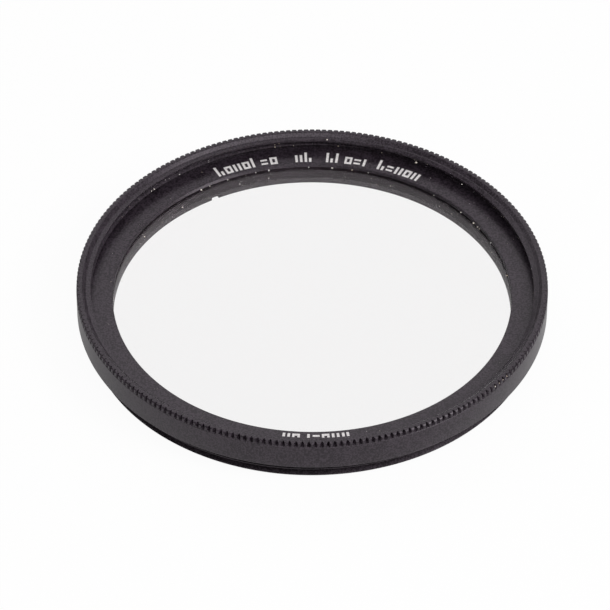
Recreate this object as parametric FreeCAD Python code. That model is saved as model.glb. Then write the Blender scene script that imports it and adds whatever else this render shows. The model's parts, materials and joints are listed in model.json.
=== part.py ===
import FreeCAD, Part
import math
import os

# Clear protective filter that screws onto the front of a camera lens.
# All sizes are in millimetres. The Z axis is the optical axis and points away from the lens,
# towards the scene. Z = 0 is the rear face, on which the filter rests when it is laid down.

# Lens thread, the same size front and rear
thread_diameter = 43.0
thread_pitch = 0.75
thread_allowance = 0.025

# Heights, measured along the axis
barrel_length = 2.05
collar_height = 3.1
front_recess_depth = 1.7
front_thread_length = 1.1
lip_thickness = 0.35
glass_thickness = 1.1

# Outside of the frame ring
rim_wall = 0.93
band_edge_break = 0.1
knurl_height = 0.52
tooth_pitch = 0.597
tooth_depth = 0.4
tooth_land = 0.2
tooth_setback = 0.02
barrel_relief_width = 0.55
barrel_relief_margin = 0.04
barrel_end_chamfer = 0.2

# Inside of the frame ring
mouth_chamfer = 0.1
front_relief_margin = 0.1
lip_edge_break = 0.06
barrel_wall = 0.45
glass_bore_step = 0.2
clamp_margin = 0.3
rear_mouth_chamfer = 0.15

# Glass
glass_side_clearance = 0.08
glass_overlap = 1.0
glass_edge_bevel = 0.1

# Retaining ring behind the glass
retaining_thread_pitch = 0.5
retaining_clearance = 0.02
retaining_setback = 0.5
retaining_edge_break = 0.08
notch_count = 2
notch_width = 0.8
notch_depth = 0.35
notch_angle = 120.0

# Depth of a 60 degree metric thread for each millimetre of pitch, inside and outside
INTERNAL_THREAD_DEPTH = 0.5413
EXTERNAL_THREAD_DEPTH = 0.6134

# Heights that follow from the sizes above
front_z = barrel_length + collar_height
knurl_z = front_z - knurl_height
front_thread_z = front_z - front_thread_length
shelf_z = front_z - front_recess_depth
glass_front_z = shelf_z - lip_thickness
glass_rear_z = glass_front_z - glass_thickness
glass_bore_z = glass_rear_z + clamp_margin
barrel_relief_z = barrel_length - barrel_relief_width

# Radii of the lens threads and of the collar around them
thread_radius = thread_diameter / 2
female_thread_radius = thread_radius - INTERNAL_THREAD_DEPTH * thread_pitch
male_thread_radius = thread_radius - thread_allowance
barrel_relief_radius = thread_radius - EXTERNAL_THREAD_DEPTH * thread_pitch - barrel_relief_margin
mouth_radius = thread_radius + mouth_chamfer
front_relief_radius = thread_radius + front_relief_margin
band_radius = thread_radius + rim_wall
tip_radius = band_radius - tooth_setback
valley_radius = tip_radius - tooth_depth

# Radii of the retaining thread, the glass and the clear opening
retaining_thread_radius = barrel_relief_radius - barrel_wall
retaining_bore_radius = retaining_thread_radius - INTERNAL_THREAD_DEPTH * retaining_thread_pitch
glass_bore_radius = retaining_bore_radius - glass_bore_step
glass_radius = glass_bore_radius - glass_side_clearance
opening_radius = glass_radius - glass_overlap

tooth_count = round(2 * math.pi * tip_radius / tooth_pitch)


def turned(profile):
    """Solid of revolution about the Z axis from a closed outline of (radius, height) points."""
    points = [FreeCAD.Vector(radius, 0, height) for radius, height in profile]
    face = Part.Face(Part.makePolygon(points + points[:1]))
    return face.revolve(FreeCAD.Vector(0, 0, 0), FreeCAD.Vector(0, 0, 1), 360)


def polar(radius, angle, height):
    """Point at a radius and an angle in radians around the axis."""
    return FreeCAD.Vector(radius * math.cos(angle), radius * math.sin(angle), height)


def tooth_star():
    """Disc whose rim is a straight knurl: V grooves all round, with a narrow flat on each tooth."""
    step = 2 * math.pi / tooth_count
    half_land = math.asin(tooth_land / 2 / tip_radius)
    points = []
    for tooth in range(tooth_count):
        points.append(polar(tip_radius, tooth * step - half_land, knurl_z))
        points.append(polar(tip_radius, tooth * step + half_land, knurl_z))
        points.append(polar(valley_radius, (tooth + 0.5) * step, knurl_z))
    face = Part.Face(Part.makePolygon(points + points[:1]))
    return face.extrude(FreeCAD.Vector(0, 0, knurl_height))


def frame_outside():
    """Barrel with its thread relief, and the smooth band up to where the knurl starts."""
    return turned([
        (0, 0),
        (male_thread_radius - barrel_end_chamfer, 0),
        (male_thread_radius, barrel_end_chamfer),
        (male_thread_radius, barrel_relief_z),
        (barrel_relief_radius, barrel_relief_z + male_thread_radius - barrel_relief_radius),
        (barrel_relief_radius, barrel_length),
        (band_radius - band_edge_break, barrel_length),
        (band_radius, barrel_length + band_edge_break),
        (band_radius, knurl_z),
        (0, knurl_z),
    ])


def frame_inside():
    """Everything that is bored out: front recess, lip opening, glass bore and rear thread."""
    mouth_depth = mouth_radius - female_thread_radius
    return turned([
        (0, front_z + mouth_chamfer),
        (mouth_radius + mouth_chamfer, front_z + mouth_chamfer),
        (mouth_radius, front_z),
        (female_thread_radius, front_z - mouth_depth),
        (female_thread_radius, front_thread_z),
        (front_relief_radius, front_thread_z),
        (front_relief_radius, shelf_z),
        (opening_radius + lip_edge_break, shelf_z),
        (opening_radius, shelf_z - lip_edge_break),
        (opening_radius, glass_front_z),
        (glass_bore_radius, glass_front_z),
        (glass_bore_radius, glass_bore_z),
        (retaining_bore_radius, glass_bore_z),
        (retaining_bore_radius, rear_mouth_chamfer),
        (retaining_bore_radius + 2 * rear_mouth_chamfer, -rear_mouth_chamfer),
        (0, -rear_mouth_chamfer),
    ])


def frame_ring():
    """Knurled frame, turned from one piece of aluminium."""
    return frame_outside().fuse(tooth_star()).cut(frame_inside())


def glass_disc():
    """Flat clear window with its edges bevelled, pressed up against the lip."""
    return turned([
        (0, glass_rear_z),
        (glass_radius - glass_edge_bevel, glass_rear_z),
        (glass_radius, glass_rear_z + glass_edge_bevel),
        (glass_radius, glass_front_z - glass_edge_bevel),
        (glass_radius - glass_edge_bevel, glass_front_z),
        (0, glass_front_z),
    ])


def spanner_notch(angle):
    """Cutter for one slot across the rear edge of the retaining ring."""
    length = retaining_bore_radius - opening_radius + 2 * notch_depth
    corner = FreeCAD.Vector(opening_radius - notch_depth, -notch_width / 2, retaining_setback - notch_depth)
    cutter = Part.makeBox(length, notch_width, 2 * notch_depth, corner)
    return cutter.rotated(FreeCAD.Vector(0, 0, 0), FreeCAD.Vector(0, 0, 1), angle)


def retaining_ring():
    """Threaded ring that holds the glass from behind, with notches for a spanner."""
    outer_radius = retaining_bore_radius - retaining_clearance
    edge = retaining_edge_break
    ring = turned([
        (opening_radius + edge, retaining_setback),
        (outer_radius - edge, retaining_setback),
        (outer_radius, retaining_setback + edge),
        (outer_radius, glass_rear_z - edge),
        (outer_radius - edge, glass_rear_z),
        (opening_radius + edge, glass_rear_z),
        (opening_radius, glass_rear_z - edge),
        (opening_radius, retaining_setback + edge),
    ])
    for notch in range(notch_count):
        ring = ring.cut(spanner_notch(notch_angle + notch * 360 / notch_count))
    return ring


def only_solid(shape, name):
    """The one closed solid of a sub-part."""
    solids = shape.Solids
    print(name, "solids", len(solids), "valid", shape.isValid(), "volume", round(shape.Volume, 3))
    return solids[0]


parts = {
    "frame_ring": frame_ring(),
    "glass_disc": glass_disc(),
    "retaining_ring": retaining_ring(),
}
os.makedirs("parts", exist_ok=True)
for name, shape in parts.items():
    only_solid(shape, name).exportStep("parts/" + name + ".step")
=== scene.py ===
# %% [markdown]
# This lesson builds a clear protective filter that screws onto the front of a camera lens: a black ring
# of turned aluminium with a knurled rim, a flat disc of glass, and a thin threaded ring behind the glass
# that keeps it in place. The measured model is loaded first and stays where it is. Every piece made here
# takes its place and its main sizes from that model, so nothing has to be fitted by eye afterwards.

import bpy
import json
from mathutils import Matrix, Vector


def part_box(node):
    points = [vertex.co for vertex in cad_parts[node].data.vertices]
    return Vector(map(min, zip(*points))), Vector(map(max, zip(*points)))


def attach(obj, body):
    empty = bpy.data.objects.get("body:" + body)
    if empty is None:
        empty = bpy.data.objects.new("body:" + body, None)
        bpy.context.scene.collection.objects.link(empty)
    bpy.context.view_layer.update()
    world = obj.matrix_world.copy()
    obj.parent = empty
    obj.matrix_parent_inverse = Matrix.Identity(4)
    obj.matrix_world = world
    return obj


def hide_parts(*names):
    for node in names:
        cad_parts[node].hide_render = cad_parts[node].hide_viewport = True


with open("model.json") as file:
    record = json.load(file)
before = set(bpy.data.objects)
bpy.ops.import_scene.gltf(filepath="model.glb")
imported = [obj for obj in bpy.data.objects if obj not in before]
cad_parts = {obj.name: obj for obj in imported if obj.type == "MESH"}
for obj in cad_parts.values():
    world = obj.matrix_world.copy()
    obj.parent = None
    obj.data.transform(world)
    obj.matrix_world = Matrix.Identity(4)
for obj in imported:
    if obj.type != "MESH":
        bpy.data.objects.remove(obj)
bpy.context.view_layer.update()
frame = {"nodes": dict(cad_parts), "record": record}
print("nodes", sorted(frame["nodes"]))

# %% [markdown]
# Blender counts in metres, but a part this small is easier to think about in millimetres. All sizes
# below are therefore written in millimetres and multiplied by MM where a mesh is made. The sizes that
# the measured model already has are read from it, so that they are written in one place only.

# %% Units, and the sizes that come from the measured model
import json
import math
import random

import bmesh
import bpy
from mathutils import Vector

MM = 0.001
merge_distance = 1e-7
flat_edge = 1e-6


def millimetres(node):
    """Largest radius, lowest height and highest height of a measured node."""
    low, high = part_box(node)
    return high.x / MM, low.z / MM, high.z / MM


band_radius, rear_z, front_z = millimetres("frame_ring")
glass_radius, glass_rear_z, glass_front_z = millimetres("glass_disc")
clamp_radius, clamp_rear_z, clamp_front_z = millimetres("retaining_ring")
mount_radius = {m["name"]: m["dims"].get("r_mm") for m in frame["record"]["mounts"]}
male_radius = mount_radius["rear_thread"]
female_radius = mount_radius["front_thread"]
print("ring", band_radius, front_z, "glass", glass_radius, "threads", male_radius, female_radius)

# %% [markdown]
# The camera looks down at the filter from the front at about 42 degrees and stands well back with a
# long lens, so the ring's near and far sides come out almost the same size. A camera is plain data: its
# place and its tilt are worked out from the distance and the angle, and the focal length sets the scale.

# %% Camera
view_elevation = 42.2
view_roll = 0.07
camera_side = -0.68
camera_back = 320.1
camera_above_rim = 287.06
focal_length = 266.8

camera_data = bpy.data.cameras.new("camera")
camera_data.lens = focal_length
camera_data.sensor_width = 36.0
camera_data.clip_start = 0.01
camera_data.clip_end = 10.0
camera = bpy.data.objects.new("camera", camera_data)
camera.location = Vector((camera_side, -camera_back, camera_above_rim + front_z)) * MM
camera.rotation_euler = (math.radians(90 - view_elevation), 0, 0)
camera.rotation_euler.rotate_axis("Z", math.radians(view_roll))
bpy.context.scene.collection.objects.link(camera)
bpy.context.scene.camera = camera
bpy.context.scene.view_settings.view_transform = "Standard"
print("camera at", [round(x / MM, 1) for x in camera.location])

# %% [markdown]
# Shader nodes are clumsy to place one by one in code. This small class wraps one output of a node, and
# gives it plus, minus and times, so that a material can be written as sums. One method adds any other
# node: first its settings, then the values or wires that go into its sockets.

# %% A small language for materials
class Wire:
    """One output socket of a node. Arithmetic on wires adds Math nodes to the same tree."""

    def __init__(self, tree, socket):
        self.tree = tree
        self.socket = socket

    def math(self, operation, first, second=0.0):
        return add_node(self.tree, "ShaderNodeMath", {"operation": operation}, {0: first, 1: second})

    def __add__(self, other):
        return self.math("ADD", self, other)

    def __sub__(self, other):
        return self.math("SUBTRACT", self, other)

    def __rsub__(self, other):
        return self.math("SUBTRACT", other, self)

    def __mul__(self, other):
        return self.math("MULTIPLY", self, other)

    __radd__ = __add__
    __rmul__ = __mul__

    def out(self, name):
        """Another output of the same node."""
        return Wire(self.tree, self.socket.node.outputs[name])

    def fade(self, start, end):
        """0 where this wire is at start, 1 where it is at end, and smooth in between."""
        values = {"Value": self, "From Min": start, "From Max": end}
        return add_node(self.tree, "ShaderNodeMapRange", {"interpolation_type": "SMOOTHSTEP"}, values)

    def mix(self, low, high):
        """Colour that goes from low to high as this wire goes from 0 to 1."""
        node = add_node(self.tree, "ShaderNodeMix", {"data_type": "RGBA"}, {"Factor": self, 6: low, 7: high})
        return Wire(self.tree, node.socket.node.outputs[2])


def add_node(tree, kind, settings=None, sockets=None):
    """Adds a node of any kind, with its settings set before its sockets. Gives its first output."""
    node = tree.nodes.new(kind)
    for name, value in (settings or {}).items():
        setattr(node, name, value)
    for name, value in (sockets or {}).items():
        target = node.inputs[name]
        if isinstance(value, Wire):
            tree.links.new(value.socket, target)
        elif isinstance(value, tuple) and len(value) == 3 and target.type == "RGBA":
            target.default_value = (*value, 1.0)
        else:
            target.default_value = value
    return Wire(tree, node.outputs[0]) if node.outputs else node


def new_material(name):
    """Empty material and its node tree."""
    material = bpy.data.materials.new(name)
    material.use_nodes = True
    material.node_tree.nodes.clear()
    return material, material.node_tree


def finish_with(tree, surface):
    """Sends a shader to the material's output."""
    add_node(tree, "ShaderNodeOutputMaterial", None, {"Surface": surface})


def object_position(tree):
    """Place on the piece in millimetres, so that a pattern stays with the piece."""
    here = add_node(tree, "ShaderNodeTexCoord").out("Object")
    return add_node(tree, "ShaderNodeVectorMath", {"operation": "SCALE"}, {"Vector": here, "Scale": 1 / MM})


def noise(tree, position, scale, detail=2.0):
    """Soft random pattern whose spots are about 1 / scale millimetres wide."""
    return add_node(tree, "ShaderNodeTexNoise", None, {"Vector": position, "Scale": scale, "Detail": detail})


print("shader helpers ready")

# %% [markdown]
# The studio is a white table under soft lamps. Black satin metal shows mostly what it reflects, so each
# lamp stands where a highlight is wanted: the main one high on the right, a second one high in front, and
# a wide, weak panel behind. Their power was set by comparing renders, not measured. The table has to look
# white without flooding the object with light. Its shader therefore mixes in plain white for the rays
# that look at it, and keeps some of the real shadow.

# %% Studio: world, lamps and table
table_size = 3.0
table_gap = 0.02
table_colour = (0.85, 0.84, 0.84)
table_white_seen = 0.95
table_white_in_metal = 0.3
table_white_through_glass = 0.75
# Below 1: where the table is seen through the glass, its white glows less, as painted shade for the table
# under the filter, inside the ring.
table_shaded_level_under_glass = 0.88
world_level = 0.29


def build_world():
    world = bpy.data.worlds.new("studio")
    world.use_nodes = True
    tree = world.node_tree
    tree.nodes.clear()
    path = add_node(tree, "ShaderNodeLightPath")
    seen = path.out("Is Camera Ray") + path.out("Is Transmission Ray")
    level = seen * (1 - world_level) + world_level
    light = add_node(tree, "ShaderNodeBackground", None, {"Color": (1.0, 1.0, 1.0), "Strength": level})
    add_node(tree, "ShaderNodeOutputWorld", None, {"Surface": light})
    bpy.context.scene.world = world


def softbox(name, azimuth, elevation, distance, width, height, watts):
    """Rectangular lamp that faces the object. Azimuth is measured from +X towards +Y, in degrees."""
    lamp = bpy.data.lights.new(name, "AREA")
    lamp.shape = "RECTANGLE"
    lamp.size = width
    lamp.size_y = height
    lamp.energy = watts
    holder = bpy.data.objects.new(name, lamp)
    around, up = math.radians(azimuth), math.radians(elevation)
    place = Vector((math.cos(around) * math.cos(up), math.sin(around) * math.cos(up), math.sin(up)))
    holder.location = place * distance
    holder.rotation_mode = "QUATERNION"
    holder.rotation_quaternion = place.to_track_quat("Z", "Y")
    bpy.context.scene.collection.objects.link(holder)


def build_table():
    material, tree = new_material("table_white")
    path = add_node(tree, "ShaderNodeLightPath")
    through = path.out("Is Transmission Ray")
    white = (path.out("Is Camera Ray") * table_white_seen + path.out("Is Glossy Ray") * table_white_in_metal
             + through * table_white_through_glass)
    matt = add_node(tree, "ShaderNodeBsdfDiffuse", None, {"Color": table_colour})
    # Seen through the glass, the white glows at a lower level: painted shade under the filter. The diffuse
    # part still gives the real shadow.
    level = 1 - through * (1 - table_shaded_level_under_glass)
    glow = add_node(tree, "ShaderNodeEmission", None, {"Color": (1.0, 1.0, 1.0), "Strength": level})
    finish_with(tree, add_node(tree, "ShaderNodeMixShader", None, {0: white, 1: matt, 2: glow}))
    bpy.ops.object.select_all(action="DESELECT")
    bpy.ops.mesh.primitive_plane_add(size=table_size, location=(0, 0, (rear_z - table_gap) * MM))
    table = bpy.context.object
    table.name = "table"
    table.data.materials.append(material)


build_world()
softbox("main_lamp", -28, 41, 0.60, 0.24, 0.24, 1.9)
softbox("front_lamp", -80, 57, 0.70, 0.50, 0.30, 1.6)
softbox("back_panel", 108, 40, 0.80, 1.10, 0.45, 1.7)
build_table()
print("studio ready")

# %% [markdown]
# Everything on this filter was turned on a lathe, so almost every piece starts the same way: draw half
# of its section, round the corners, and sweep it round the axis. The section is a chain of points that
# is extruded corner by corner. The Screw modifier then does the turning in one step, and with a lead it
# also makes the helix of a thread, which the Spin operator is too slow for at this number of steps.

# %% Lathe helpers
def deselect():
    """Nothing stays selected, so that the next operator acts only on what it is given."""
    bpy.ops.object.select_all(action="DESELECT")


def select_points(piece, wanted):
    """Selects, in edit mode, the points for which wanted(radius, height) is true, in millimetres."""
    mesh = bmesh.from_edit_mesh(piece.data)
    for point in mesh.verts:
        radius = math.hypot(point.co.x, point.co.y) / MM
        point.select = wanted(radius, point.co.z / MM)
    mesh.select_flush_mode()
    bmesh.update_edit_mesh(piece.data)


def section(name, corners):
    """Closed section in the XZ plane. Corners are (radius, height) or (radius, height, rounding)."""
    deselect()
    bpy.ops.mesh.primitive_circle_add(vertices=3, radius=MM)
    piece = bpy.context.object
    piece.name = name
    piece.data.name = name
    bpy.ops.object.mode_set(mode="EDIT")
    bpy.ops.mesh.merge(type="CENTER")
    bpy.ops.transform.translate(value=(corners[0][0] * MM, 0, corners[0][1] * MM))
    for here, there in zip(corners, corners[1:]):
        move = ((there[0] - here[0]) * MM, 0, (there[1] - here[1]) * MM)
        bpy.ops.mesh.extrude_vertices_move(TRANSFORM_OT_translate={"value": move})
    bpy.ops.mesh.select_all(action="SELECT")
    bpy.ops.mesh.edge_face_add()
    round_corners(piece, [corner for corner in corners if len(corner) == 3])
    bpy.ops.mesh.select_all(action="SELECT")
    bpy.ops.mesh.delete(type="ONLY_FACE")
    bpy.ops.object.mode_set(mode="OBJECT")
    return piece


def round_corners(piece, corners, segments=2, near=0.001):
    """Bevels the corners of a section, all those of one size together."""
    for size in sorted({corner[2] for corner in corners}):
        places = [corner for corner in corners if corner[2] == size]
        select_points(piece, lambda r, z: any(math.hypot(r - c[0], z - c[1]) < near for c in places))
        bpy.ops.mesh.bevel(offset=size * MM, segments=segments, affect="VERTICES")


def turn(piece, steps, lead=0.0, turns=1, degrees=360):
    """Sweeps a section round the axis: once, part of the way, or along a helix where a lead is given."""
    sweep = piece.modifiers.new("turn", "SCREW")
    sweep.angle = math.radians(degrees)
    sweep.steps = steps
    sweep.render_steps = steps
    sweep.screw_offset = lead * MM
    sweep.iterations = turns
    sweep.use_merge_vertices = lead == 0
    sweep.merge_threshold = merge_distance
    deselect()
    piece.select_set(True)
    bpy.context.view_layer.objects.active = piece
    bpy.ops.object.modifier_apply(modifier=sweep.name)
    face_outwards(piece)


def face_outwards(piece):
    """Closes open ends, merges doubled points and turns every face outwards."""
    bpy.ops.object.mode_set(mode="EDIT")
    bpy.ops.mesh.select_all(action="SELECT")
    bpy.ops.mesh.remove_doubles(threshold=merge_distance)
    bpy.ops.mesh.fill_holes(sides=0)
    bpy.ops.mesh.select_all(action="SELECT")
    bpy.ops.mesh.normals_make_consistent(inside=False)
    bpy.ops.object.mode_set(mode="OBJECT")


def combine(piece, tool, operation):
    """Cuts a tool out of a piece, or keeps only what the two share, and removes the tool."""
    boolean = piece.modifiers.new("combine", "BOOLEAN")
    boolean.operation = operation
    boolean.object = tool
    boolean.solver = "EXACT"
    deselect()
    piece.select_set(True)
    bpy.context.view_layer.objects.active = piece
    bpy.ops.object.modifier_apply(modifier=boolean.name)
    bpy.data.objects.remove(tool)


def describe(piece):
    """Prints how large a mesh is and whether it is closed."""
    mesh = bmesh.new()
    mesh.from_mesh(piece.data)
    open_edges = sum(not edge.is_manifold for edge in mesh.edges)
    triangles = sum(len(face.verts) - 2 for face in mesh.faces)
    print(piece.name, "triangles", triangles, "open edges", open_edges,
          "volume", round(mesh.calc_volume() / MM**3, 1))
    mesh.free()


print("lathe helpers ready")

# %% [markdown]
# The frame ring is one turned piece. Its section shows how it works: the barrel at the bottom carries
# the thread that goes into the lens, the wide band above it is what the fingers hold, and the recess at
# the top has a thread for another filter. A thin lip between the two keeps the glass from falling out
# forwards. The edges are broken by a few hundredths of a millimetre, because sharp ones catch no light.
# The small groove in the lip's wall and the ridge under the front thread are there for light alone, and
# no measured size stands behind them.

# %% Frame ring: section
tooth_count = 236
steps_per_tooth = 4
tooth_depth = 0.32
tooth_setback = 0.02
tooth_land = 0.36
knurl_height = 0.52
rim_break = 0.1
tip_radius = band_radius - tooth_setback
knurl_z = front_z - knurl_height

shoulder_z = 2.05
barrel_relief_radius = 21.0
barrel_relief_z = 1.5
barrel_chamfer = 0.2
band_break = 0.1
mouth_radius = 21.86
mouth_cone = 0.32
thread_start = 0.03
front_relief_radius = 21.6
front_thread_length = 1.1
front_relief_z = front_z - front_thread_length
lip_thickness = 0.35
shelf_z = glass_front_z + lip_thickness
opening_radius = 19.0
lip_break = 0.14
crest_ridge = 0.06
lip_groove_depth = 0.10
lip_groove_start = 0.12
lip_groove_middle = 0.18
lip_groove_end = 0.30
glass_bore_radius = 20.08
clamp_margin = 0.3
glass_bore_z = glass_rear_z + clamp_margin
clamp_bore_radius = 20.28
rear_mouth = 0.15
fine = 0.02
soft = 0.05

run_out_height = 0.2
run_out_shares = [0.0, 0.15, 0.45, 1.0]
run_out_rows = [knurl_z + run_out_height * share for share in run_out_shares]
relief_cone_z = barrel_relief_z + male_radius - barrel_relief_radius

ring_section = [
    (clamp_bore_radius + rear_mouth, rear_z),
    (male_radius - barrel_chamfer, rear_z),
    (male_radius, rear_z + barrel_chamfer),
    (male_radius, barrel_relief_z),
    (barrel_relief_radius, relief_cone_z),
    (barrel_relief_radius, shoulder_z, soft),
    (band_radius - band_break, shoulder_z, fine),
    (band_radius, shoulder_z + band_break, soft),
    (band_radius, knurl_z - tooth_setback),
    *[(tip_radius, height) for height in run_out_rows],
    (tip_radius, front_z - rim_break),
    (tip_radius - rim_break, front_z),
    (mouth_radius, front_z, soft),
    (mouth_radius - mouth_cone, front_z - mouth_cone, fine),
    (female_radius, front_z - mouth_cone - thread_start),
    (female_radius, front_relief_z + 2 * crest_ridge),
    (female_radius - crest_ridge, front_relief_z + crest_ridge),
    (female_radius - crest_ridge, front_relief_z),
    (front_relief_radius, front_relief_z, fine),
    (front_relief_radius, shelf_z, soft),
    (opening_radius, shelf_z, lip_break),
    (opening_radius, shelf_z - lip_groove_start),
    (opening_radius + lip_groove_depth, shelf_z - lip_groove_middle),
    (opening_radius, shelf_z - lip_groove_end),
    (opening_radius, glass_front_z),
    (glass_bore_radius, glass_front_z),
    (glass_bore_radius, glass_bore_z, fine),
    (clamp_bore_radius, glass_bore_z),
    (clamp_bore_radius, rear_z + rear_mouth, fine),
]
frame_ring = section("ring_body", ring_section)
turn(frame_ring, tooth_count * steps_per_tooth)
describe(frame_ring)

# %% [markdown]
# The knurl is rolled or cut as straight V grooves all round the rim, with a narrow flat left on each
# tooth. The lathe made four steps for each tooth: the middle of the flat, an edge of the groove, its
# valley and its other edge. So the teeth need no new faces: row by row, the valleys are scaled in towards
# the axis, and the edges are turned until they lie where the V meets the rim. With no window, Blender's
# rotate operator turns the other way round, so its angle gets a minus sign. Near the bottom the cutter
# lifts out of the metal, so the V gets shallower and narrower, which gives each groove its rounded end.

# %% Frame ring: knurl
def groove_depth(height):
    """Depth of the groove's valley at a height: an arc where the cutter lifts out, then level."""
    share = min(1.0, (height - knurl_z) / run_out_height)
    return tooth_depth * math.sqrt(max(0.0, 1 - (1 - share) ** 2))


def select_row(piece, row_z, row_radius, step, near=0.004):
    """Selects one row's points that lie at one of the four steps of every tooth."""
    tooth_angle = 2 * math.pi / tooth_count
    mesh = bmesh.from_edit_mesh(piece.data)
    for point in mesh.verts:
        radius = math.hypot(point.co.x, point.co.y) / MM
        on_row = abs(point.co.z / MM - row_z) < near and abs(radius - row_radius) < near
        turned = (math.atan2(point.co.y, point.co.x) / tooth_angle + 0.5 / steps_per_tooth) % 1.0
        point.select = on_row and int(turned * steps_per_tooth) == step
    mesh.select_flush_mode()
    bmesh.update_edit_mesh(piece.data)


def press_groove(piece, row_z, row_radius):
    """Cuts the grooves into one row: valleys go in, and their edges go to where the V begins."""
    depth = max(0.0, groove_depth(row_z) - (tip_radius - row_radius))
    half_width = (1 - tooth_land) / 2 * depth / tooth_depth
    select_row(piece, row_z, row_radius, 2)
    scale = 1 - depth / row_radius
    bpy.ops.transform.resize(value=(scale, scale, 1), center_override=(0, 0, 0))
    for step, side in ((1, 1), (3, -1)):
        select_row(piece, row_z, row_radius, step)
        turn_by = side * (1 / steps_per_tooth - half_width) * 2 * math.pi / tooth_count
        bpy.ops.transform.rotate(value=-turn_by, orient_axis="Z", center_override=(0, 0, 0))


knurl_rows = [(height, tip_radius) for height in run_out_rows[1:]]
knurl_rows += [(front_z - rim_break, tip_radius), (front_z, tip_radius - rim_break)]
bpy.ops.object.mode_set(mode="EDIT")
for row_z, row_radius in knurl_rows:
    press_groove(frame_ring, row_z, row_radius)
bpy.ops.object.mode_set(mode="OBJECT")
describe(frame_ring)

# %% [markdown]
# A metric thread is a 60 degree V with a flat on it, swept along a helix. Here it is cut as on a lathe:
# a helical cutter is made with the same helpers, trimmed to the stretch that has thread, and taken out
# of the ring with a Boolean. Because the cutter runs through the chamfers, the thread starts and ends
# as thin crescents there, exactly as a real one does. A texture could not give that outline.

# %% Frame ring: threads
thread_pitch = 0.75
thread_steps = 236
flank_slope = math.tan(math.radians(30))
over_cut = 0.08
spare_turns = 2
internal_thread_depth = 0.5413
external_thread_depth = 0.6134
end_margin = 0.3
relief_margin = 0.2
cone_margin = 0.05
female_root = female_radius + internal_thread_depth * thread_pitch
male_root = male_radius - external_thread_depth * thread_pitch


def thread_cutter(name, root_radius, crest_radius, root_flat, low_z, high_z, phase):
    """Helical groove from the crest radius to the root radius, between two heights."""
    outwards = 1 if crest_radius > root_radius else -1
    mouth = crest_radius + outwards * over_cut
    half_root = root_flat / 2
    half_mouth = half_root + abs(mouth - root_radius) * flank_slope
    start = low_z - spare_turns * thread_pitch + phase * thread_pitch
    turns = math.ceil((high_z - low_z) / thread_pitch) + 2 * spare_turns
    groove = section(name, [
        (root_radius, start - half_root),
        (root_radius, start + half_root),
        (mouth, start + half_mouth),
        (mouth, start - half_mouth),
    ])
    turn(groove, thread_steps, lead=thread_pitch, turns=turns)
    inner = min(mouth, root_radius) - over_cut
    outer = max(mouth, root_radius) + over_cut
    zone = section("zone", [(inner, low_z), (outer, low_z), (outer, high_z), (inner, high_z)])
    turn(zone, thread_steps)
    combine(groove, zone, "INTERSECT")
    return groove


front_thread_phase = 0.283
rear_thread_phase = 0.50
front_cutter = thread_cutter("front_cutter", female_root, female_radius, thread_pitch / 8,
                             front_relief_z - relief_margin, front_z + end_margin, front_thread_phase)
describe(front_cutter)
combine(frame_ring, front_cutter, "DIFFERENCE")
rear_cutter = thread_cutter("rear_cutter", male_root, male_radius, thread_pitch / 6,
                            rear_z - end_margin, relief_cone_z - cone_margin, rear_thread_phase)
describe(rear_cutter)
combine(frame_ring, rear_cutter, "DIFFERENCE")
describe(frame_ring)

# %% [markdown]
# The glass rests against the lip and is held from behind by the retaining ring. The disc is a short
# cylinder with its edge bevelled, since a sharp glass edge would chip. It is made a hundredth of a
# millimetre thinner than its seat on each side, because two surfaces in exactly the same plane flicker.

# %% Glass disc and retaining ring
seat_gap = 0.01
glass_bevel = 0.1
glass_segments = 360
clamp_segments = 472
clamp_break = 0.08
notch_width = 0.8
notch_depth = 0.35
notch_overshoot = 1
notch_angles = (120, 300)

deselect()
glass_thickness = glass_front_z - glass_rear_z - 2 * seat_gap
bpy.ops.mesh.primitive_cylinder_add(
    vertices=glass_segments, radius=glass_radius * MM, depth=glass_thickness * MM,
    location=(0, 0, (glass_front_z + glass_rear_z) / 2 * MM))
glass = bpy.context.object
glass.name = "glass"
glass.data.name = "glass"
bpy.ops.object.transform_apply(location=True)
bpy.ops.object.mode_set(mode="EDIT")
rims = bmesh.from_edit_mesh(glass.data)
for edge in rims.edges:
    edge.select = abs(edge.verts[0].co.z - edge.verts[1].co.z) < flat_edge
bmesh.update_edit_mesh(glass.data)
bpy.ops.mesh.bevel(offset=glass_bevel * MM, segments=1, affect="EDGES")
bpy.ops.object.mode_set(mode="OBJECT")
describe(glass)

retainer = section("retainer", [
    (opening_radius, clamp_rear_z, clamp_break),
    (clamp_radius, clamp_rear_z, clamp_break),
    (clamp_radius, clamp_front_z, clamp_break),
    (opening_radius, clamp_front_z, 2 * clamp_break),
])
turn(retainer, clamp_segments)
for angle in notch_angles:
    deselect()
    middle = (opening_radius + clamp_radius) / 2
    length = clamp_radius - opening_radius + notch_overshoot
    bpy.ops.mesh.primitive_cube_add(size=MM, location=(middle * MM, 0, clamp_rear_z * MM))
    tool = bpy.context.object
    bpy.ops.transform.resize(value=(length, notch_width, 2 * notch_depth))
    bpy.ops.object.transform_apply(location=True, rotation=True, scale=True)
    tool.rotation_euler = (0, 0, math.radians(angle))
    combine(retainer, tool, "DIFFERENCE")
describe(retainer)

# %% [markdown]
# White marks are printed on the shelf in front of the glass: four groups at the back and one at the
# front. Here they are plain bars, squares and dashes. Every mark is a few strokes of ink, and a stroke
# is a thin block that is swept a little way round the axis with the same lathe helper, so it follows the
# ring. Each kind of mark is made once and then copied to its places, and the copies become one piece.

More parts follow.
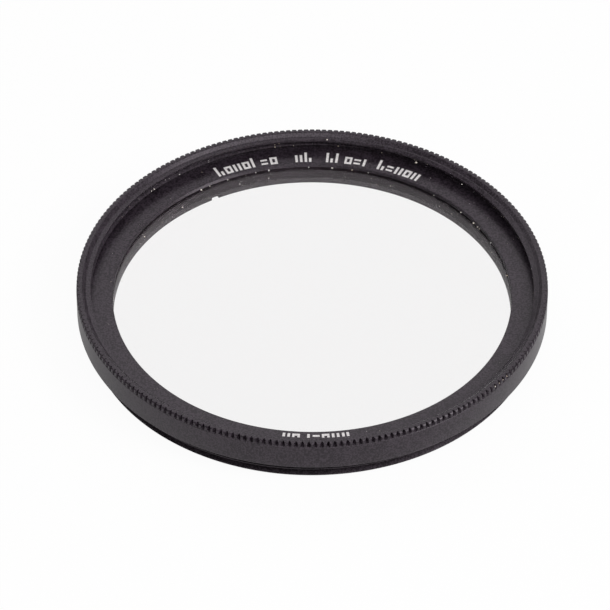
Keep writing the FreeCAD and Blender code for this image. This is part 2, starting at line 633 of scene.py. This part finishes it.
# %% Print on the shelf
ink_height = 0.006
ink_sunk = 0.004
ink_inner_radius = 19.36
ink_stroke = 0.24
mark_pitch = 0.9
mark_kinds = {
    "tall": [(0.0, ink_stroke, 0.0, 1.42)],
    "short": [(0.0, ink_stroke, 0.0, 1.05)],
    "pair": [(0.0, ink_stroke, 0.0, 1.05), (0.45, 0.45 + ink_stroke, 0.0, 1.05)],
    "step": [(0.0, ink_stroke, 0.0, 1.42), (0.42, 0.42 + ink_stroke, 0.0, 0.6)],
    "square": [
        (0.0, 0.7, 0.0, 0.26),
        (0.0, 0.7, 0.79, 1.05),
        (0.0, 0.22, 0.26, 0.79),
        (0.48, 0.7, 0.26, 0.79),
    ],
    "dashes": [(0.0, 0.64, 0.12, 0.36), (0.0, 0.64, 0.64, 0.88)],
}
mark_groups = [
    (118.0, ["step", "square", "pair", "square", "tall", "dashes", "square"]),
    (94.8, ["pair", "step"]),
    (86.0, ["step", "tall", "square", "dashes", "short"]),
    (71.0, ["step", "dashes", "pair", "square", "pair"]),
    (280.0, ["step", "pair", "square", "dashes", "tall", "square", "pair"]),
]


def join_all(pieces, name):
    """Makes one piece of many, with its object at the origin."""
    deselect()
    for piece in pieces:
        piece.select_set(True)
    bpy.context.view_layer.objects.active = pieces[0]
    if len(pieces) > 1:
        bpy.ops.object.join()
    bpy.ops.object.transform_apply(location=True, rotation=True, scale=True)
    pieces[0].name = name
    pieces[0].data.name = name
    return pieces[0]


def copy_of(piece):
    """Copy of a piece with its own mesh."""
    twin = piece.copy()
    twin.data = piece.data.copy()
    bpy.context.scene.collection.objects.link(twin)
    return twin


def ink_mark(kind):
    """One mark that starts at the X axis, made of strokes given as (start, end, inner, outer)."""
    strokes = []
    for start, end, inner, outer in mark_kinds[kind]:
        low, high = ink_inner_radius + inner, ink_inner_radius + outer
        below, above = shelf_z - ink_sunk, shelf_z + ink_height
        stroke = section(kind, [(low, below), (high, below), (high, above), (low, above)])
        turn(stroke, 3, degrees=math.degrees((end - start) / ink_inner_radius))
        stroke.rotation_euler = (0, 0, -end / ink_inner_radius)
        strokes.append(stroke)
    return join_all(strokes, kind)


first_marks = {kind: ink_mark(kind) for kind in mark_kinds}
marks = []
for start_angle, kinds in mark_groups:
    for place, kind in enumerate(kinds):
        mark = copy_of(first_marks[kind])
        turned_by = math.radians(start_angle) - place * mark_pitch / ink_inner_radius
        mark.rotation_euler = (0, 0, turned_by)
        marks.append(mark)
print_marks = join_all(marks, "print_marks")
for mark in first_marks.values():
    bpy.data.objects.remove(mark)
describe(print_marks)

# %% [markdown]
# This filter was used and never quite clean: specks of dust lie in the corner between the lip and the
# glass, on the last edge of the thread, on the inner wall and in a few grooves of the knurl. The larger
# ones are listed one by one and the small ones placed by chance, with a fixed seed so that every run is the
# same.
# A speck is a coarse ball squeezed out of round: it is far too small for more detail to show.

# %% Dust
random.seed(43)
speck_radius = 0.065
speck_squeeze = (0.6, 1.3)
small_speck_sizes = (0.2, 0.55)
lip_corner = (opening_radius - 0.08, glass_front_z + 0.02)
thread_edge = (female_radius, front_relief_z + 0.1)
inner_wall = (opening_radius, clamp_front_z - 0.5)
hand_placed = [
    (lip_corner, 1.5, (125, 103, 84, 34, 9)),
    (lip_corner, 0.9, (122, 116, 107, 91, 78, 73, 51, 40, 32, 31, 24)),
    (thread_edge, 1.6, (137, 61)),
    (thread_edge, 0.9, (138, 128, 100, 95, 83, 71, 46)),
    ((female_radius + 0.1, front_z - 0.35), 1.4, (86,)),
    ((tip_radius - 0.1, front_z - 0.26), 0.8, (-35.8, -37.4, -38.9, -40.4)),
    (inner_wall, 1.1, (149, 132)),
    (inner_wall, 0.7, (112, 103, 80, 66, 49, 44)),
]
chance_zones = [
    (40, 19.1, 21.0, shelf_z, 0.0),
    (50, opening_radius, opening_radius, clamp_rear_z + 0.2, clamp_front_z - clamp_rear_z - 0.3),
    (40, female_radius, female_radius, front_relief_z, 0.5),
    (24, 18.2, 18.9, glass_front_z, 0.0),
    (10, 2.0, 18.0, glass_front_z, 0.0),
]


def speck(angle, radius, height, size):
    """One grain of dust at a place given in degrees and millimetres."""
    grain = copy_of(first_speck)
    around = math.radians(angle)
    grain.location = Vector((radius * math.cos(around), radius * math.sin(around), height)) * MM
    grain.rotation_euler = (random.uniform(0, 3), random.uniform(0, 3), random.uniform(0, 3))
    grain.scale = [size * random.uniform(*speck_squeeze) for axis in range(3)]
    return grain


deselect()
bpy.ops.mesh.primitive_ico_sphere_add(subdivisions=1, radius=speck_radius * MM)
first_speck = bpy.context.object
specks = []
for (radius, height), size, angles in hand_placed:
    specks += [speck(angle, radius, height, size) for angle in angles]
for count, inner, outer, low, depth in chance_zones:
    for grain in range(count):
        radius, height = random.uniform(inner, outer), low + depth * random.random()
        specks.append(speck(random.uniform(0, 360), radius, height, random.uniform(*small_speck_sizes)))
dust = join_all(specks, "dust_specks")
bpy.data.objects.remove(first_speck)
describe(dust)

# %% [markdown]
# Black anodising is a thin dyed layer on metal that was blasted and then turned. Three things make it
# look real: a base colour that is never quite black, a roughness that wanders a little, and relief. The
# relief has two parts. One is the fine grain of the blasting. The other is turning lines: a pattern that
# depends only on the radius plus the height, so that it runs round the axis on flat faces and walls
# alike. Those lines also stretch the highlights across the ring, as they do on every turned part.

# %% Materials
grain_scale = 6.0
cloud_scale = 0.35
grain_share = 0.85
cloud_share = 0.15
tone_start = 0.41
tone_end = 0.59
rough_from_cloud = 0.10
rough_from_grain = 0.08
rough_middle = 0.09
lines_up_the_wall = 1.3
smooth_angle = 20
grain_relief = 0.0022
turning_relief = 0.0016


def anodised(name, colour, sheen_colour, roughness, ior, turned, lines_per_mm):
    """Black anodised aluminium: satin, with a blasted grain and fine turning lines."""
    material, tree = new_material(name)
    place = object_position(tree)
    grain = noise(tree, place, grain_scale, 3.0)
    cloud = noise(tree, place, cloud_scale, 2.0)
    flat = add_node(tree, "ShaderNodeVectorMath", {"operation": "MULTIPLY"}, {0: place, 1: (1, 1, 0)})
    radius = add_node(tree, "ShaderNodeVectorMath", {"operation": "LENGTH"}, {0: flat}).out("Value")
    height = add_node(tree, "ShaderNodeSeparateXYZ", None, {"Vector": place}).out("Z")
    lines = add_node(tree, "ShaderNodeTexNoise", {"noise_dimensions": "1D"}, {
        "W": radius + height * lines_up_the_wall, "Scale": lines_per_mm, "Detail": 1.0})
    tone = (grain * grain_share + cloud * cloud_share).fade(tone_start, tone_end)
    rough = cloud * rough_from_cloud + grain * rough_from_grain + (roughness - rough_middle)
    blasted = add_node(tree, "ShaderNodeBump", None, {
        "Strength": 1.0, "Distance": grain_relief * MM, "Height": grain})
    relief = add_node(tree, "ShaderNodeBump", None, {
        "Strength": 1.0, "Distance": turned * turning_relief * MM, "Height": lines, "Normal": blasted})
    surface = add_node(tree, "ShaderNodeBsdfPrincipled", None, {
        "Base Color": tone.mix(colour, sheen_colour), "Roughness": rough, "Normal": relief,
        "IOR": ior, "Specular Tint": (1.0, 0.91, 0.99)})
    finish_with(tree, surface)
    return material


def plain_matt(name, colour, second_colour, scale, roughness):
    """Matt surface whose colour wanders between two tones, for ink and for dust."""
    material, tree = new_material(name)
    tone = noise(tree, object_position(tree), scale, 2.0).fade(0.35, 0.65).mix(colour, second_colour)
    surface = add_node(tree, "ShaderNodeBsdfPrincipled", None, {"Base Color": tone, "Roughness": roughness})
    finish_with(tree, surface)
    return material


def clear_glass():
    """Coated glass. Shadow rays pass straight through it, so the table below stays evenly lit."""
    material, tree = new_material("clear_glass")
    path = add_node(tree, "ShaderNodeLightPath")
    clear = add_node(tree, "ShaderNodeBsdfPrincipled", None, {
        "Base Color": (0.99, 0.985, 0.985), "Roughness": 0.0, "IOR": 1.52, "Transmission Weight": 1.0,
        "Specular Tint": (0.01, 0.005, 0.01)})
    open_air = add_node(tree, "ShaderNodeBsdfTransparent", None, {"Color": (0.95, 0.95, 0.95)})
    shadow = path.out("Is Shadow Ray")
    finish_with(tree, add_node(tree, "ShaderNodeMixShader", None, {0: shadow, 1: clear, 2: open_air}))
    return material


frame_black = anodised("frame_black", (0.007, 0.0045, 0.007), (0.038, 0.029, 0.038), 0.36, 1.43, 1.0, 16.0)
# The retainer is the same black anodising as the frame, but its colours are set darker: painted shade for its
# inner wall, which lies in the recess under the lip, behind the glass.
retainer_black = anodised("retainer_black", (0.005, 0.0035, 0.004), (0.018, 0.013, 0.017), 0.5, 1.3, 0.5, 5.0)
white_ink = plain_matt("white_print", (0.80, 0.77, 0.77), (0.62, 0.59, 0.59), 6.0, 0.6)
dust_grey = plain_matt("dust", (0.92, 0.89, 0.86), (0.62, 0.52, 0.42), 0.4, 0.9)
for piece, material in (
    (frame_ring, frame_black),
    (retainer, retainer_black),
    (glass, clear_glass()),
    (print_marks, white_ink),
    (dust, dust_grey),
):
    piece.data.materials.clear()
    piece.data.materials.append(material)
    deselect()
    piece.select_set(True)
    bpy.context.view_layer.objects.active = piece
    bpy.ops.object.shade_smooth_by_angle(angle=math.radians(smooth_angle))
print("materials ready")

# %% [markdown]
# The last step hangs every piece on the body that it moves with, root, and hides the measured nodes of the
# frame ring, the glass and the retaining ring. The print and the dust are extra, so they replace nothing.

# %% Hand over
for piece, slot in (
    (frame_ring, "frame_black"),
    (glass, "clear_glass"),
    (retainer, "retainer_black"),
    (print_marks, "white_print"),
    (dust, "dust"),
):
    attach(piece, "root")
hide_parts("frame_ring")
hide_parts("glass_disc")
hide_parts("retaining_ring")
